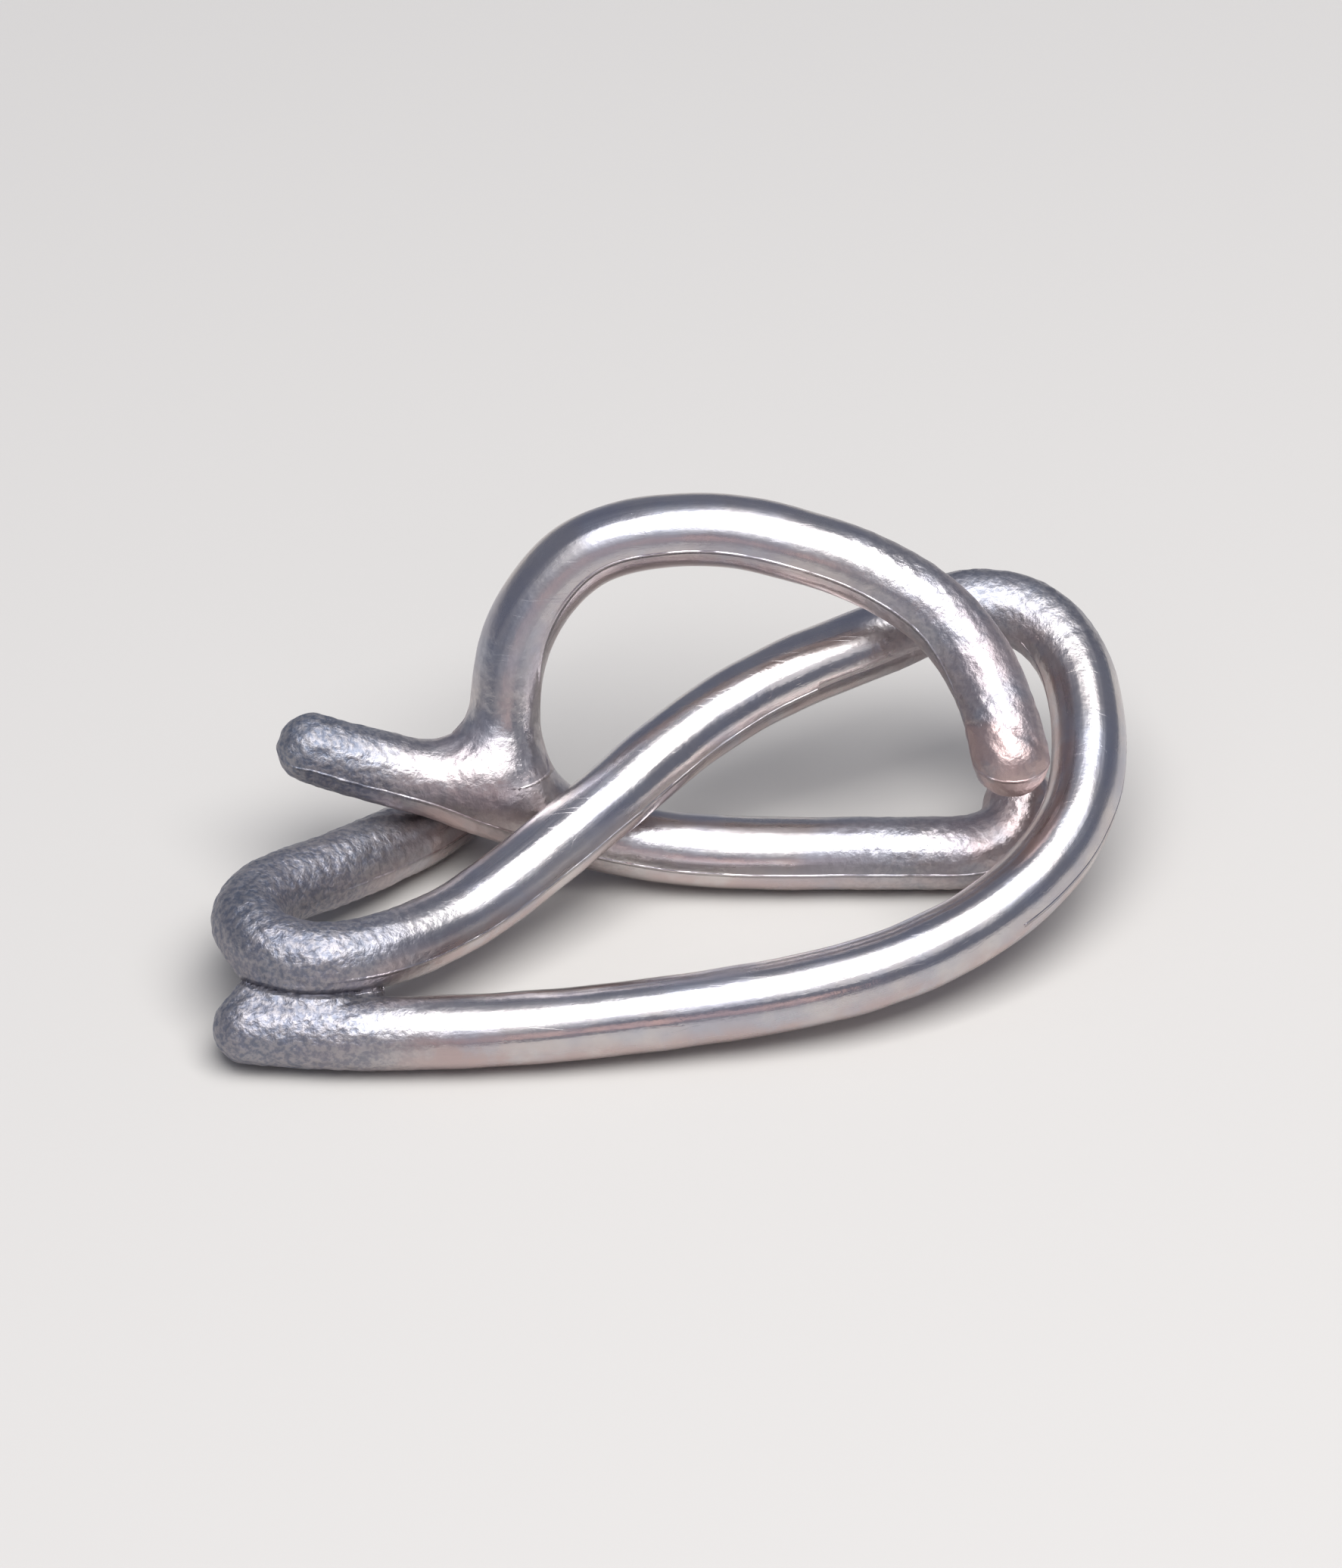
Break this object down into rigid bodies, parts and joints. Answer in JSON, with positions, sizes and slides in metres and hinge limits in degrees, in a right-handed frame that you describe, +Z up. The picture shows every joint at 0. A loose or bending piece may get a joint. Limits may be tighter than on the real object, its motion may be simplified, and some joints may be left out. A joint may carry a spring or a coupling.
{
  "type": "metal ring disentanglement puzzle",
  "caption": "Cast metal disentanglement puzzle: an open ring with a tail hangs in a teardrop eye with a hooked tail.",
  "frame": {"origin": "under the middle of the puzzle, on the bench it rests on", "axes": "+Z up from the bench, +X from the tails towards the closed round end of the eye, +Y up the slope of the eye towards its far rail"},
  "size_m": [0.062, 0.0364, 0.0259],
  "materials": {
    "eye_metal": "polished cast, finely scratched",
    "ring_metal": "polished cast, finely scratched"
  },
  "bodies": {
    "eye": {"eye_loop": "eye_metal"},
    "ring": {"hook_ring": "ring_metal"}
  },
  "joints": [
    {"name": "ring_swing", "type": "hinge", "parent": "eye", "child": "ring", "pos_m": [0, 0.0012, 0.0146], "axis": [0.9352, 0.2419, 0.2588], "range_deg": [0, 60]}
  ]
}
